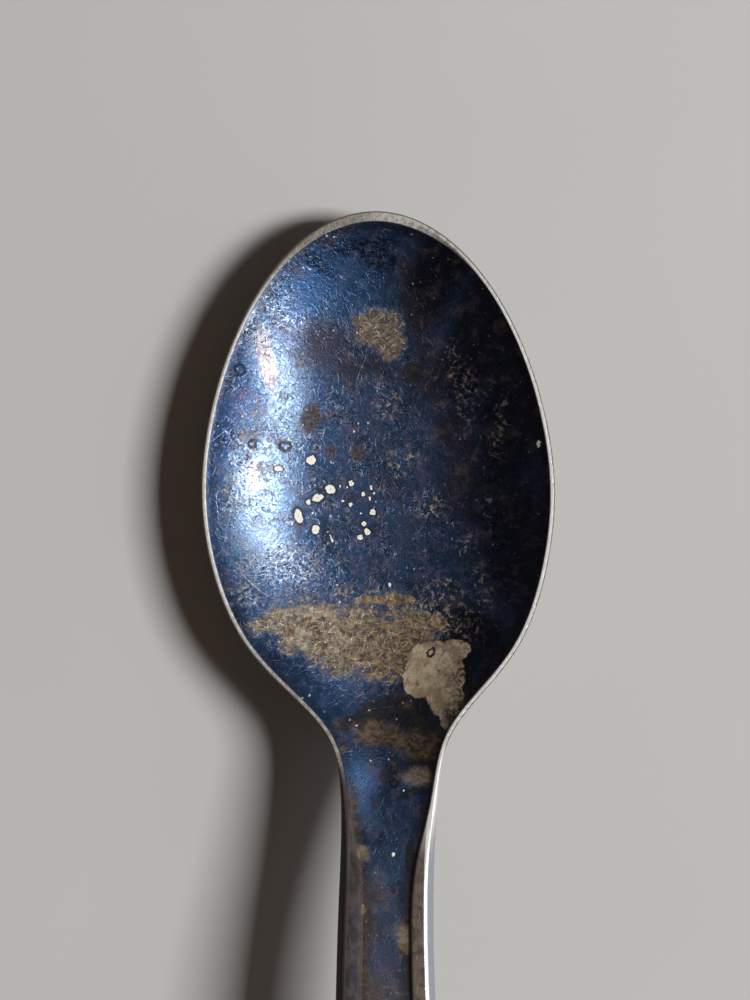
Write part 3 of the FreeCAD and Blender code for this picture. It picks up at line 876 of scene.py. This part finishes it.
def layStains(at):
    # brown haze, thicker to the right of the bowl; dark stains and painted shade on the bowl's right side;
    # darker along the inside of the rim, deepest on the right; and darker along the border at the neck
    haze = both(fade(noise(at.plan, 0.5, 5.0, 0.7, 0.8), 0.46, 0.64), fade(at.across, -4.0, 5.0, 0.2, 0.48),
                fade(noise(at.fine, 4.0, 3.0, 0.7), 0.4, 0.62))
    at.layers.cover(haze, "haze", 0.6)
    at.layers.cover(both(patches(at.broad, "purpleStains", 0.7), fade(at.grain, 0.35, 0.6, 1.0, 0.6)),
                    "purpleBrown", 0.5)
    # stains and painted shade: dark navy patches that deepen the bowl's right side
    rightStainShade = patches(at.broad, "rightStainsAndShade", 0.5)
    at.layers.cover(both(rightStainShade, 0.85), "nightBlue")
    tipScuff = patches(at.broad, "tipScuffs", 0.5)
    tipStreaks = noise(vectorCalc("MULTIPLY", at.fine, (1.0, 2.4, 1.0)), 1.8, 3.0, 0.6)
    at.layers.cover(both(tipScuff, fade(tipStreaks, 0.42, 0.56)), "deepBlue")
    # darker along the inside of the rim, mottled; its deepening to the right is painted shade
    rimInsideDarkening = both(fade(at.depthIn, 0.25, 1.0, 1.0, 0.0), fade(at.middle, 0.3, 0.55, 0.55, 1.0))
    at.layers.cover(both(rimInsideDarkening, fade(at.across, -6.0, 8.0, 0.45, 0.95)), "nightBlue", 0.5)
    stemHaze = both(fade(at.station, 44.0, 54.0), fade(at.clouds, 0.38, 0.58),
                    fade(at.across, -1.6, 1.0, 0.9, 0.3))
    at.layers.cover(stemHaze, "stemHaze", 0.55, 0.5)
    # darker along the inside of the border where the bowl meets the stem
    neckBorderDarkening = both(fade(at.depthIn, -0.3, 0.75, 1.0, 0.0), fade(at.station, 36.0, 44.0))
    at.layers.cover(both(neckBorderDarkening, 0.85), "bandDark", 0.6, 0.5)


def wearToGold(at):
    # patches worn through to brown and gold
    at.dashes = noise(vectorCalc("MULTIPLY", at.fine, (1.0, 1.35, 1.0)), 1.7, 4.0, 0.7, 0.8)
    at.curls = either(worms(at.fine, 1.35, 0.06, 0.38, 53.0), worms(at.fine, 2.0, 0.055, 0.44, 61.0))
    bandTone = blendColor(fade(at.dashes, 0.39, 0.6), "bandDeep", "bandMiddle")
    thick = useGroup(scratchGroup, Vector=at.fine, Spacing=0.52, Length=0.46, Width=0.042,
                     Bend=2.6, Density=0.85)["Mask"]
    thin = useGroup(scratchGroup, Vector=at.fine, Spacing=0.85, Length=0.47, Width=0.038,
                    Bend=2.0, Density=0.75, Shift=5.1)["Mask"]
    at.strokes = either(thick, thin)
    at.strokes = either(at.strokes, both(at.curls, 0.16))
    wash = calc("ADD", fade(noise(at.fine, 2.9, 4.0, 0.7), 0.48, 0.68, 0.0, 0.3),
                fade(noise(at.broad, 0.8, 3.0, 0.6), 0.42, 0.62, 0.0, 0.22))
    leftward = fade(at.across, -6.0, 4.0, 1.0, 0.55)
    bandTone = blendColor(both(wash, fade(at.across, -5.0, 0.0, 1.0, 0.25)), bandTone, "bandLight")
    bandTone = blendColor(both(at.darkMarks, 0.8), bandTone, "bandDeep")
    bandTone = blendColor(both(at.strokes, leftward), bandTone, "bandLight")
    band = patches(at.broad, "goldBand", 0.5)
    scuff = patches(at.broad, "brownScuffs", 0.55)
    worn = either(band, scuff)
    roughEdge = calc("ADD", both(at.dashes, 2.0), both(at.strokes, 0.4))
    at.ragged = fade(calc("ADD", worn, roughEdge), 1.25, 2.25)
    underWorn = fade(calc("ADD", worn, both(at.dashes, 1.4)), 1.1, 1.6)
    at.layers.cover(both(underWorn, 0.85), "bandGround", 0.6, 0.3)
    wornTone = blendColor(fade(at.station, 10.0, 20.0, 0.55, 0.0), bandTone, "haze")
    wornTone = blendColor(both(at.strokes, fade(at.station, 10.0, 20.0, 0.6, 0.0)), wornTone, "bandLight")
    at.layers.cover(both(at.ragged, 0.95), wornTone, 0.6, 0.15)
    wornHalo = both(fade(calc("ADD", patches(at.broad, "goldBand", 0.9), both(at.dashes, 0.8)), 0.6, 1.2),
                    at.strokes, calc("SUBTRACT", 1.0, at.ragged))
    at.layers.cover(both(wornHalo, 0.75), "fleck", 0.6, 0.2)
    fleckZone = patches(at.broad, "flecks", 0.4)
    fleckVector = warped(at.fine, 2.0, 0.3)
    fleckLines = either(fade(noise(fleckVector, 2.8, 4.0, 0.7), 0.52, 0.6),
                        useGroup(scratchGroup, Vector=at.fine, Spacing=0.7, Length=0.46, Width=0.032,
                                 Bend=2.4, Density=0.5, Shift=8.3)["Mask"])
    at.flecks = both(fleckZone, fleckLines, fade(noise(at.plan, 1.4, 3.0), 0.4, 0.56, 0.35, 1.0))
    at.layers.cover(both(at.flecks, fade(at.across, 4.0, 7.0, 0.85, 0.5)), "fleck", 0.6, 0.15)
    strayLines = both(worms(at.fine, 1.5, 0.03, 0.6, 47.0), fade(at.station, 9.0, 13.0),
                      fade(at.across, 3.0, 8.0, 1.0, 0.2), at.bowlShare)
    at.layers.cover(both(strayLines, fade(at.across, -6.0, 2.0, 0.1, 0.5)), "fleck", 0.6, 0.2)


def frayed(at, marks, softness, reach, vector):
    edge = both(calc("SUBTRACT", at.middle, 0.42), 1.3)
    return fade(calc("ADD", patches(vector, marks, softness), edge), 0.5 - reach, 0.5 + reach)


def layBlots(at):
    # soot, smears, the flaking tan patch and small spots, and a darker neck
    # darker across the neck, more to the right of the middle
    neckDarkening = both(fade(at.station, 33.0, 36.0), fade(at.station, 38.0, 40.0, 1.0, 0.0),
                     fade(at.across, -3.5, -0.5, 0.15, 0.72), fade(at.middle, 0.35, 0.6, 0.55, 1.0))
    at.layers.cover(neckDarkening, "soot", 0.5)
    dark = frayed(at, "darkBlots", 0.5, 0.3, at.broad)
    at.layers.cover(both(dark, 0.88), "soot", 0.5, 0.4)
    at.smear = frayed(at, "brownSmears", 0.6, 0.5, at.broad)
    smearTone = blendColor(fade(at.dashes, 0.4, 0.62), "bandDark", "smear")
    at.layers.cover(both(at.smear, fade(at.station, 40.0, 44.0, 0.85, 0.45)), smearTone, 0.6, 0.2)
    flakeVector = warped(warped(warped(at.plan, 0.7, 0.3, 2.0), 2.2, 0.26, 5.0), 5.5, 0.09)
    at.flake = patches(flakeVector, "tanFlake", 0.05)
    tan = blendColor(fade(noise(at.plan, 0.9, 4.0), 0.4, 0.62), "tan", "tanShade")
    tan = blendColor(both(fade(at.dashes, 0.46, 0.62), fade(at.across, 2.5, 6.0, 0.15, 0.75)), tan,
                     "tanRot")
    tan = blendColor(both(at.darkMarks, 0.6), tan, "bandDark")
    flakeEdge = both(fade(patches(flakeVector, "tanFlake", 0.16), 0.0, 0.3),
                     fade(at.across, 3.5, 6.0, 0.35, 1.0))
    at.layers.cover(flakeEdge, "soot")
    at.layers.cover(at.flake, tan, 0.62, 0.0)
    edgeRot = both(patches(at.broad, "flakeRot", 0.4), fade(at.dashes, 0.42, 0.54))
    at.layers.cover(both(edgeRot, 0.92), "soot", 0.55)
    spots = frayed(at, "tanSpots", 0.85, 0.42, flakeVector)
    at.layers.cover(both(spots, 0.75), blendColor(fade(at.dashes, 0.4, 0.6), "smear", "tanShade"), 0.6, 0.1)
    at.red = patches(at.fine, "redSpots", 0.3)
    redGrain = fade(at.grain, 0.35, 0.6, 0.6, 1.0)
    at.layers.cover(both(at.red, redGrain), "rust", 0.6, 0.2)
    at.layers.cover(both(at.red, at.curls, 0.16), "fleck", 0.5, 0.3)


def layScratches(at):
    long = useGroup(scratchGroup, Vector=at.plan, Spacing=3.4, Length=0.48, Width=0.011, Bend=0.9,
                    Density=0.45)["Mask"]
    short = useGroup(scratchGroup, Vector=at.plan, Spacing=1.1, Length=0.45, Width=0.03, Bend=1.8,
                     Density=0.5, Shift=3.7)["Mask"]
    at.lines = either(long, short)
    # painted glints: the scratches are painted bright towards the left, where the highlight falls; the
    # scratches themselves are wear
    at.layers.cover(both(at.lines, at.leftShare, fade(at.bowlShare, 0.0, 1.0, 0.15, 0.5)), "brightMark",
                    0.32)
    speckZone = fade(noise(at.plan, 0.45, 2.0), 0.5, 0.62)
    specks = useGroup(speckGroup, Vector=warped(at.plan, 4.0, 0.1), Spacing=0.55, Size=0.16,
                      Density=0.35)["Mask"]
    at.layers.cover(both(specks, speckZone, fade(at.across, -2.0, 4.0, 0.7, 0.25),
                         fade(at.bowlShare, 0.0, 1.0, 0.3, 1.0)), "bandLight", 0.5, 0.2)


def layChips(at):
    # chips down to the pale ground coat, each with a dark rim and a pin hole
    chipVector = warped(at.plan, 3.6, 0.16, 2.0)
    chipReach = nearest(chipVector, "whiteChips")
    at.layers.cover(fade(chipReach, 1.2, 1.7, 0.85, 0.0), "deepBlue", 0.45, 0.6)
    at.chip = fade(chipReach, 0.86, 1.0, 1.0, 0.0)
    pip = fade(chipReach, 0.06, 0.2, 0.6, 0.0)
    at.layers.cover(at.chip, blendColor(pip, "chipWhite", "chipPip"), 0.5, 0.0)
    pitReach = nearest(at.fine, "ringPits")
    at.pitRing = both(fade(pitReach, 0.4, 0.65), fade(pitReach, 0.95, 1.2, 1.0, 0.0))
    at.layers.cover(both(at.pitRing, 0.9), "nightBlue", 0.4, 0.5)


def layBorders(at):
    # borders: rubbed bright round the bowl, with a painted highlight that keeps the rim near-white and
    # whitest on the right, and painted shade on its left and along its edges; brown and grey along the
    # stem, with a painted highlight line and a painted floor reflection on the right and painted shade on
    # the left
    onBorder = both(calc("SUBTRACT", 1.0, at.field), at.front)
    stemShare = fade(at.station, 41.0, 46.0)
    tipShare = fade(at.station, 1.5, 5.0, 1.0, 0.0)
    rimGrain = fade(noise(at.plan, 2.6, 4.0, 0.7), 0.4, 0.62)
    rimWear = both(rimGrain, fade(tipShare, 0.0, 1.0, 0.35, 0.95))
    # painted highlight: on the right the rim is kept near-white, smoother and less worn, so that it shows
    # as a bright line
    rightRimHighlight = both(fade(at.across, 1.5, 4.0), fade(at.station, 6.0, 13.0))
    rimWear = both(rimWear, fade(rightRimHighlight, 0.0, 1.0, 1.0, 0.12))
    silver = blendColor(rimWear, "silver", "silverShade")
    leftShade = both(fade(at.inset, 0.15, 0.25, 0.85, 0.0), fade(at.across, -7.0, -2.0, 1.0, 0.0),
                     fade(at.station, 3.0, 20.0, 1.0, 0.3))
    silver = blendColor(leftShade, silver, "rimBrown")
    neckShade = both(fade(at.across, -1.0, 1.0, 0.75, 0.0), fade(at.station, 26.0, 34.0),
                     fade(rimGrain, 0.0, 1.0, 0.7, 1.0))
    silver = blendColor(neckShade, silver, "rimBrown")
    innerShade = both(fade(at.across, 2.0, 6.0), fade(at.inset, 0.24, 0.33),
                      fade(at.station, 10.0, 17.0, 0.9, 0.0))
    silver = blendColor(innerShade, silver, "nightBlue")
    outerShade = both(fade(at.inset, 0.07, 0.13, 0.97, 0.0), fade(rimGrain, 0.0, 1.0, 1.0, 0.8),
                      fade(at.station, 37.0, 39.0, 1.0, 0.3))
    silver = blendColor(outerShade, silver, "outerLine")
    beadTone = blendColor(fade(at.middle, 0.4, 0.62), "stemBead", "stemBeadShade")
    # painted reflection: the border's outer flank along the stem is grey-blue, as if mirroring the floor
    flankReflectionShare = both(fade(at.inset, 0.36, 0.46, 1.0, 0.0), stemShare)
    beadTone = blendColor(flankReflectionShare, beadTone, "flankFloorReflection")
    # painted highlight: a near-white line along the top of the stem's border
    beadHighlightLine = both(fade(at.inset, 0.38, 0.46), fade(at.inset, 0.62, 0.72, 1.0, 0.0))
    beadTone = blendColor(beadHighlightLine, beadTone, "silver")
    edgeTone = blendColor(stemShare, silver, beadTone)
    # painted shade: dark at the foot of the border's inner wall, faint round the bowl and strong along the
    # stem
    innerEdgeShade = both(fade(at.depthIn, -0.09, -0.02), fade(stemShare, 0.0, 1.0, 0.2, 0.8))
    # painted shade: the stem's left border is a darker copy of the border, brown, rough and with its outer
    # flank near black
    shadedLeftStem = both(fade(at.across, -1.0, 0.0, 1.0, 0.0), fade(at.station, 36.5, 40.5))
    leftTone = blendColor(fade(at.middle, 0.4, 0.6), "leftBead", "leftBeadShade")
    leftTone = blendColor(both(fade(at.inset, 0.7, 1.1), fade(at.clouds, 0.4, 0.6), 0.1), leftTone,
                          "stemBlue")
    leftTone = blendColor(fade(at.inset, 0.45, 0.7, 1.0, 0.0), leftTone, "leftFlankShade")
    edgeTone = blendColor(both(shadedLeftStem, 0.95), edgeTone, leftTone)
    leftTip = both(fade(at.across, -1.5, 1.0, 0.9, 0.35), fade(at.station, 2.0, 9.0, 1.0, 0.0),
                   fade(rimGrain, 0.0, 0.9, 1.0, 0.4))
    edgeTone = blendColor(leftTip, edgeTone, "tipTan")
    edgeTone = blendColor(innerEdgeShade, edgeTone, "nightBlue")
    rimRough = blendValue(rightRimHighlight, blendValue(rimWear, 0.5, 0.6), 0.34)
    at.layers.cover(onBorder, edgeTone, blendValue(shadedLeftStem, rimRough, 0.85),
                    blendValue(shadedLeftStem, 0.6, fade(rightRimHighlight, 0.0, 1.0, 0.1, 0.0)))


def layUnderside(at):
    # greyer plate with brown and blue bloom
    bloom = fade(noise(at.plan, 0.3, 4.0, 0.6, 0.6), 0.4, 0.65)
    backTone = blendColor(bloom, "undersideGrey", "undersideBlue")
    backTone = blendColor(fade(at.middle, 0.52, 0.7), backTone, "undersideBrown")
    backTone = blendColor(both(at.rubbed, 0.35), backTone, "undersideRub")
    backTone = blendColor(both(at.lines, 0.5), backTone, "undersideLine")
    at.layers.cover(at.back, backTone, fade(at.grain, 0.2, 0.8, 0.3, 0.48), 1.0)


def raiseRelief(at):
    at.layers.raised(both(at.grain, fade(at.bowlShare, 0.0, 1.0, 0.3, 1.0)), 0.5)
    at.layers.raised(both(at.swirls, at.bowlShare, at.markZone), 0.4)
    at.layers.raised(at.rubbed, 0.7)
    at.layers.raised(at.darkMarks, -0.6)
    at.layers.raised(at.lines, -0.5)
    at.layers.raised(both(at.ragged, at.dashes), 1.8)
    at.layers.raised(both(at.ragged, at.strokes), 0.9)
    at.layers.raised(at.flecks, 0.6)
    at.layers.raised(at.flake, 1.0)
    at.layers.raised(at.chip, 0.9)
    at.layers.raised(at.pitRing, -1.0)


def finishSpoon(material):
    material.use_nodes = True
    tree = material.node_tree
    shader = tree.nodes["Principled BSDF"]
    at = spoonFields(tree)
    for addLayers in (layTarnish, layStains, wearToGold, layBlots, layScratches, layChips, layBorders,
                      layUnderside, raiseRelief):
        addLayers(at)
    bump = newNode(tree, "ShaderNodeBump", {
        "Height": at.layers.height, "Strength": 1.0, "Distance": spoonGloss["relief"] * mm})
    tree.links.new(bump.outputs[0], shader.inputs["Normal"])
    tree.links.new(bump.outputs[0], shader.inputs["Coat Normal"])
    tree.links.new(at.layers.color, shader.inputs["Base Color"])
    tree.links.new(at.layers.rough, shader.inputs["Roughness"])
    tree.links.new(at.layers.metal, shader.inputs["Metallic"])
    bare = either(either(at.ragged, at.flake), either(at.chip, at.smear))
    bare = either(bare, at.red)
    coat = both(at.field, at.front, calc("SUBTRACT", 1.0, bare), at.bowlShare)
    tree.links.new(both(coat, spoonGloss["lacquer"]), shader.inputs["Coat Weight"])
    shader.inputs["Coat Roughness"].default_value = spoonGloss["lacquerRoughness"]


finishSpoon(spoonFinish)
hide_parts("spoon_blank")
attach(spoonBody, "root")
print("the spoon's finish is built")


# badge on the handle end
badgeLook = {
    "plateEdge": 0.045,         # mm, rounding of the cell walls' edges
    "enamelEdge": 0.13,         # mm, rounding of each enamel field towards its walls
    "beadRadius": 0.2,
    "beadCount": 104,
    "beadInset": 0.28,          # from the plate's outer edge to the row of beads
    "beadSink": 0.05,
    "glazeRelief": 0.015,
    "glazeClouding": 0.55,
    # metals: clean colour, colour of the darker and duller parts, lowest and highest roughness
    "gilt": ((0.78, 0.60, 0.30), (0.13, 0.09, 0.05), 0.24, 0.4),
    "giltDarkDepth": 0.75,           # mm below the plate's top, below which the gilt turns darker and duller
    "solder": ((0.5, 0.5, 0.49), (0.2, 0.19, 0.18), 0.45, 0.6),
    "solderDarkHeight": 1.4,          # mm above the table, below which the solder turns darker and duller
    "metalRelief": 0.01,
}
slotColor = {m["slot"]: tuple(m["base_color"]) for m in frame["record"]["materials"]}


def softenedCopy(node, name, edge, segments, material):
    source = frame["nodes"][node]
    mesh = source.data.copy()
    mesh.transform(source.matrix_world)
    work = bmesh.new()
    work.from_mesh(mesh)
    bmesh.ops.remove_doubles(work, verts=work.verts, dist=1e-6)
    bmesh.ops.dissolve_limit(work, angle_limit=math.radians(1.0), verts=work.verts, edges=work.edges)
    work.to_mesh(mesh)
    work.free()
    mesh.materials.clear()
    mesh.materials.append(material)
    shaped = bpy.data.objects.new(name + "Shaped", mesh)
    scene.collection.objects.link(shaped)
    rounding = shaped.modifiers.new("edge", "BEVEL")
    rounding.width = edge * mm
    rounding.segments = segments
    rounding.limit_method = "ANGLE"
    rounding.angle_limit = math.radians(45)
    graph = bpy.context.evaluated_depsgraph_get()
    made = bpy.data.meshes.new_from_object(shaped.evaluated_get(graph), depsgraph=graph)
    bpy.data.objects.remove(shaped)
    made.name = name
    for face in made.polygons:
        face.use_smooth = True
    made.set_sharp_from_angle(angle=math.radians(38))
    piece = bpy.data.objects.new(name, made)
    scene.collection.objects.link(piece)
    return piece


def makeBeadTree():
    tree, given, result = newGroup("beadedRim", {
        "Geometry": "Geometry", "Half Width": 0.006, "Half Length": 0.007, "Bead Radius": 0.0002,
        "Bead Count": 100, "Centre": "Vector", "Finish": "Material",
    }, {"Geometry": "Geometry"}, "GeometryNodeTree")
    ring = newNode(tree, "GeometryNodeCurvePrimitiveCircle", {"Resolution": 256, "Radius": 1.0})
    scale = newNode(tree, "ShaderNodeCombineXYZ", {
        "X": given["Half Width"], "Y": given["Half Length"], "Z": 1.0})
    oval = newNode(tree, "GeometryNodeTransform", {
        "Geometry": ring.outputs["Curve"], "Translation": given["Centre"], "Scale": scale.outputs[0]})
    even = newNode(tree, "GeometryNodeResampleCurve",
                   {"Curve": oval.outputs[0], "Count": given["Bead Count"]})
    bead = newNode(tree, "GeometryNodeMeshUVSphere",
                   {"Segments": 10, "Rings": 6, "Radius": given["Bead Radius"]})
    smooth = newNode(tree, "GeometryNodeSetShadeSmooth", {"Geometry": bead.outputs["Mesh"]})
    row = newNode(tree, "GeometryNodeInstanceOnPoints",
                  {"Points": even.outputs[0], "Instance": smooth.outputs[0]})
    joined = tree.nodes.new("GeometryNodeJoinGeometry")
    for geometry in (given["Geometry"], row.outputs[0]):
        tree.links.new(geometry, joined.inputs[0])
    real = newNode(tree, "GeometryNodeRealizeInstances", {"Geometry": joined.outputs[0]})
    finish = newNode(tree, "GeometryNodeSetMaterial",
                     {"Geometry": real.outputs[0], "Material": given["Finish"]})
    tree.links.new(finish.outputs[0], result["Geometry"])
    return tree


def makeGlazeGroup():
    # fired colour with faint clouds, a few dark pin holes and an orange-peel surface
    tree, given, result = newGroup("firedGlaze", {
        "Vector": "Vector", "Tint": (0.5, 0.5, 0.5, 1), "Clouding": 0.3,
    }, {"Color": "Color", "Roughness": "Float", "Height": "Float"})
    clouds = noise(given["Vector"], 0.8, 4.0, 0.6, 0.5)
    deeper = newNode(tree, "ShaderNodeHueSaturation",
                     {"Color": given["Tint"], "Value": 0.62, "Saturation": 1.1}).outputs[0]
    share = both(fade(clouds, 0.4, 0.7), given["Clouding"])
    color = blendColor(share, given["Tint"], deeper)
    holes = useGroup(speckGroup, Vector=given["Vector"], Spacing=0.5, Size=0.09, Density=0.18)["Mask"]
    color = blendColor(both(holes, 0.7), color, (0.03, 0.025, 0.02))
    scuffs = useGroup(scratchGroup, Vector=given["Vector"], Spacing=1.6, Length=0.45, Width=0.012, Bend=0.7,
                      Density=0.6)["Mask"]
    smudge = fade(noise(given["Vector"], 0.5, 4.0), 0.35, 0.7, 0.1, 0.24)
    peel = noise(given["Vector"], 2.2, 2.0)
    tree.links.new(color, result["Color"])
    tree.links.new(blendValue(scuffs, smudge, 0.5), result["Roughness"])
    height = calc("SUBTRACT", peel, both(calc("ADD", holes, scuffs), 0.6))
    tree.links.new(height, result["Height"])
    return tree


glazeGroup = makeGlazeGroup()


def inMillimetres(tree):
    where = newNode(tree, "ShaderNodeTexCoord").outputs["Object"]
    return vectorCalc("MULTIPLY", where, (1 / mm, 1 / mm, 1 / mm))


def makeEnamelFinish(slotName):
    material = bpy.data.materials.new(slotName)
    material.use_nodes = True
    tree = material.node_tree
    shader = tree.nodes["Principled BSDF"]
    glaze = useGroup(glazeGroup, Vector=inMillimetres(tree), Tint=(*slotColor[slotName], 1),
                     Clouding=badgeLook["glazeClouding"])
    bump = newNode(tree, "ShaderNodeBump", {
        "Height": glaze["Height"], "Strength": 0.6, "Distance": badgeLook["glazeRelief"] * mm})
    tree.links.new(glaze["Color"], shader.inputs["Base Color"])
    tree.links.new(glaze["Roughness"], shader.inputs["Roughness"])
    tree.links.new(bump.outputs[0], shader.inputs["Normal"])
    return material


def makeMetalFinish(name, look, darkLevel):
    tint, lowTint, roughLow, roughHigh = look
    material = bpy.data.materials.new(name)
    material.use_nodes = True
    tree = material.node_tree
    shader = tree.nodes["Principled BSDF"]
    place = inMillimetres(tree)
    level = newNode(tree, "ShaderNodeSeparateXYZ", {0: place}).outputs["Z"]
    clouds = noise(place, 1.1, 5.0, 0.65, 0.4)
    fineNoise = noise(place, 7.0, 3.0, 0.6)
    # darker and duller below a set height
    low = fade(calc("ADD", level, both(clouds, 0.3)), darkLevel - 0.1, darkLevel + 0.35, 0.9, 0.0)
    dull = either(low, fade(clouds, 0.55, 0.75, 0.0, 0.55))
    scratches = useGroup(scratchGroup, Vector=place, Spacing=1.0, Length=0.45, Width=0.02, Bend=0.8,
                         Density=0.6)["Mask"]
    color = blendColor(dull, tint, lowTint)
    color = blendColor(both(scratches, 0.4), color, (0.85, 0.82, 0.74))
    rough = blendValue(dull, fade(fineNoise, 0.3, 0.7, roughLow, roughHigh), 0.6)
    height = calc("SUBTRACT", both(fineNoise, 0.5), scratches)
    bump = newNode(tree, "ShaderNodeBump", {
        "Height": height, "Strength": 0.6, "Distance": badgeLook["metalRelief"] * mm})
    tree.links.new(color, shader.inputs["Base Color"])
    tree.links.new(rough, shader.inputs["Roughness"])
    tree.links.new(bump.outputs[0], shader.inputs["Normal"])
    shader.inputs["Metallic"].default_value = 1.0
    return material


plateTop = badgeHigh.z / mm
giltBrass = makeMetalFinish("giltBrass", badgeLook["gilt"], plateTop - badgeLook["giltDarkDepth"])
plateCopy = softenedCopy("badge_plate", "plateBlank", badgeLook["plateEdge"], 2, giltBrass)
centre = (badgeLow + badgeHigh) / 2
plateMesh = plateCopy.data.copy()
bpy.data.objects.remove(plateCopy)
badgePlate = bake("beaded_plate", plateMesh, makeBeadTree(), {
    "Half Width": (badgeHigh.x - badgeLow.x) / 2 - badgeLook["beadInset"] * mm,
    "Half Length": (badgeHigh.y - badgeLow.y) / 2 - badgeLook["beadInset"] * mm,
    "Bead Radius": badgeLook["beadRadius"] * mm, "Bead Count": badgeLook["beadCount"],
    "Centre": (centre.x, centre.y, badgeHigh.z - badgeLook["beadSink"] * mm), "Finish": giltBrass})
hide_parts("badge_plate")
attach(badgePlate, "root")

for color in ("navy", "sky", "yellow", "slate", "white", "green", "turquoise"):
    slotName = "enamel_" + color
    node = next(s["node"] for s in frame["record"]["subparts"] if s["material_slot"] == slotName)
    pool = softenedCopy(node, node.replace("_enamel", "_pool"), badgeLook["enamelEdge"], 3,
                        makeEnamelFinish(slotName))
    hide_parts(node)
    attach(pool, "root")

solderGrey = makeMetalFinish("dullSolder", badgeLook["solder"], badgeLook["solderDarkHeight"])
solder = frame["nodes"]["badge_solder"]
for materialSlot in solder.material_slots:
    materialSlot.material = solderGrey
print("the badge and its enamels are built")
